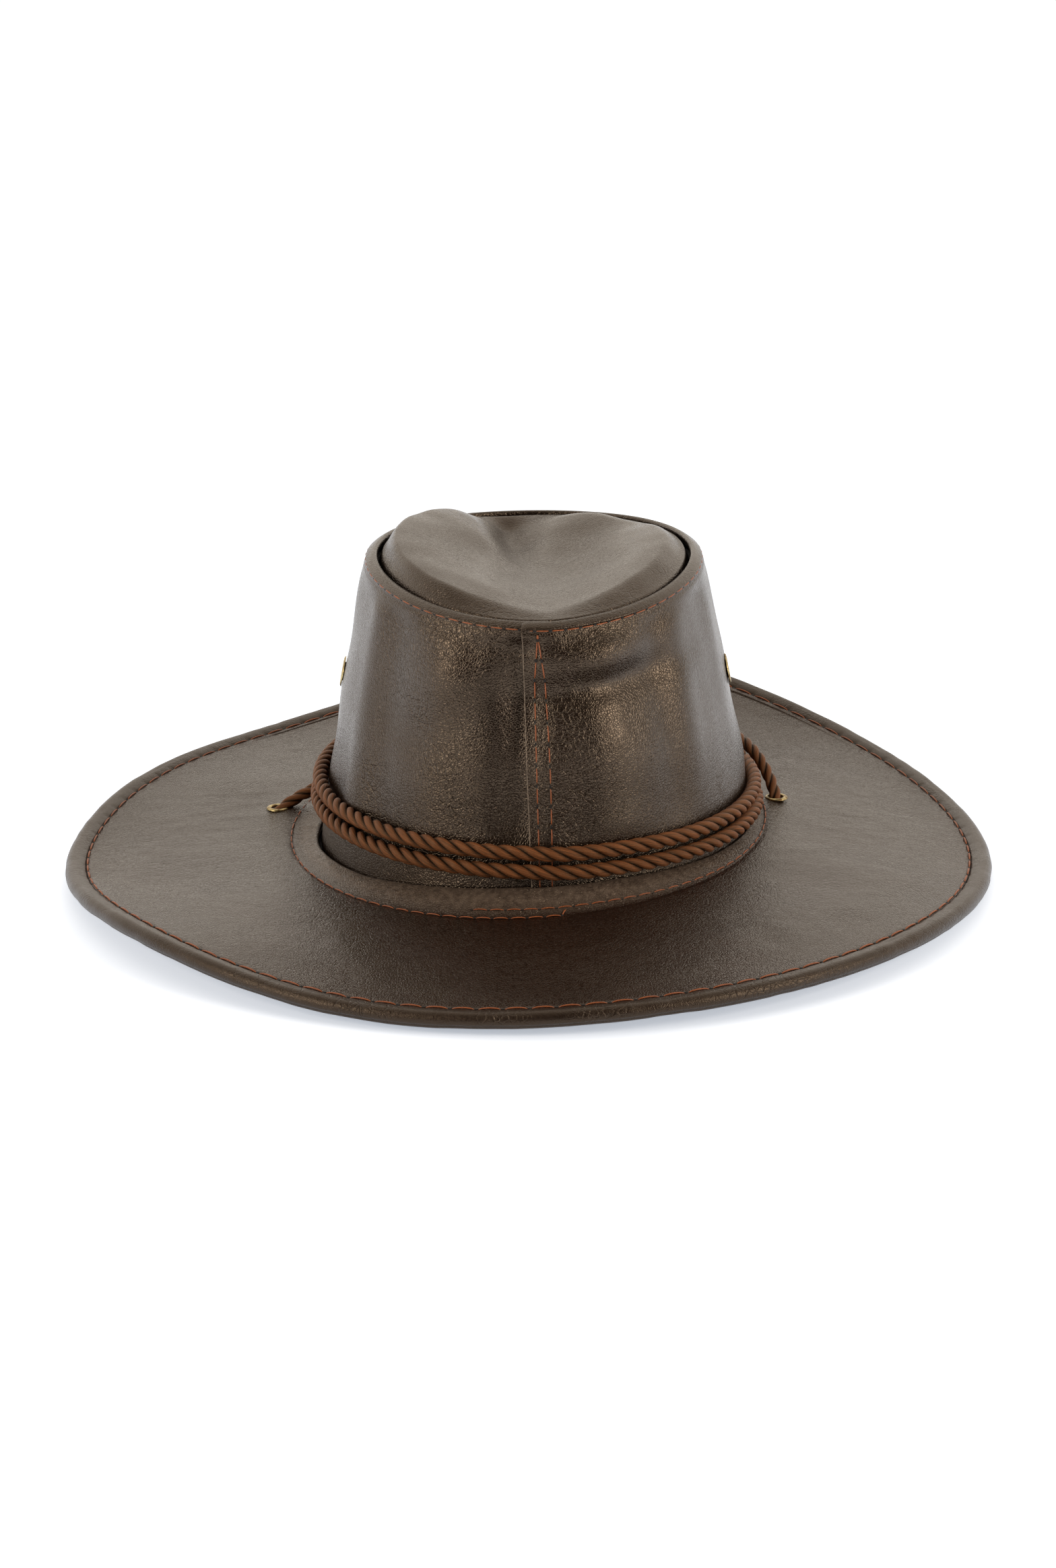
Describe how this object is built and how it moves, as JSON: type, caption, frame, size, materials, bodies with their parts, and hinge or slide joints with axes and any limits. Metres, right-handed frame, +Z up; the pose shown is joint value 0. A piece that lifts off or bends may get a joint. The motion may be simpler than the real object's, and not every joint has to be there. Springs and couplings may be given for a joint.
{
  "type": "wide-brimmed costume hat",
  "caption": "Wide-brimmed leather costume hat with a creased crown, twisted cord band, brim eyelets and a chin cord with a sliding bead.",
  "frame": {"origin": "centre of the brim in plan, at the floor that the brim's rolled edge stands on", "axes": "+Z up, +Y towards the hat's front, -Y towards the lapped back seam, +X to the wearer's right"},
  "size_m": [0.374, 0.409, 0.1339],
  "materials": {
    "crown_leather": "satin, pebbled grain",
    "brim_leather": "satin, pebbled grain",
    "underbrim_leather": "matte, fine grain",
    "edge_leather": "satin",
    "tape": "ribbed woven tape",
    "lining": "smooth woven lining",
    "sweatband_leather": "smooth, matte",
    "stiffener": "pressed fibre board",
    "wire": "plain",
    "brass": "antique, lightly polished",
    "slider_wood": "stained and waxed",
    "thread": "waxed thread",
    "cord": "satin twisted three-strand cord"
  },
  "bodies": {
    "hat": {"crown_side": "crown_leather", "crown_tip": "crown_leather", "crown_seam_binding": "tape", "crown_lining": "lining", "sweatband": "sweatband_leather", "brim_top": "brim_leather", "brim_core": "stiffener", "brim_bottom": "underbrim_leather", "brim_edge_roll": "edge_leather", "brim_edge_wire": "wire", "brim_under_tape": "tape", "brim_eyelet_left": "brass", "brim_eyelet_right": "brass", "brim_washer_left": "brass", "brim_washer_right": "brass", "crown_vent_left": "brass", "crown_vent_right": "brass", "vent_washer_left": "brass", "vent_washer_right": "brass", "hat_band_cord": "cord", "chin_cord_left": "cord", "chin_cord_right": "cord", "chin_knot": "cord", "chin_tails": "cord", "brim_edge_stitching": "thread", "brim_ring_stitching": "thread", "crown_top_stitching": "thread", "back_seam_stitching": "thread", "sweatband_stitching": "thread"},
    "slider": {"chin_slider": "slider_wood"}
  },
  "joints": [
    {"name": "slider_slide", "type": "slide", "parent": "hat", "child": "slider", "axis": [0, 1, 0], "range_m": [0, 0.06]}
  ]
}
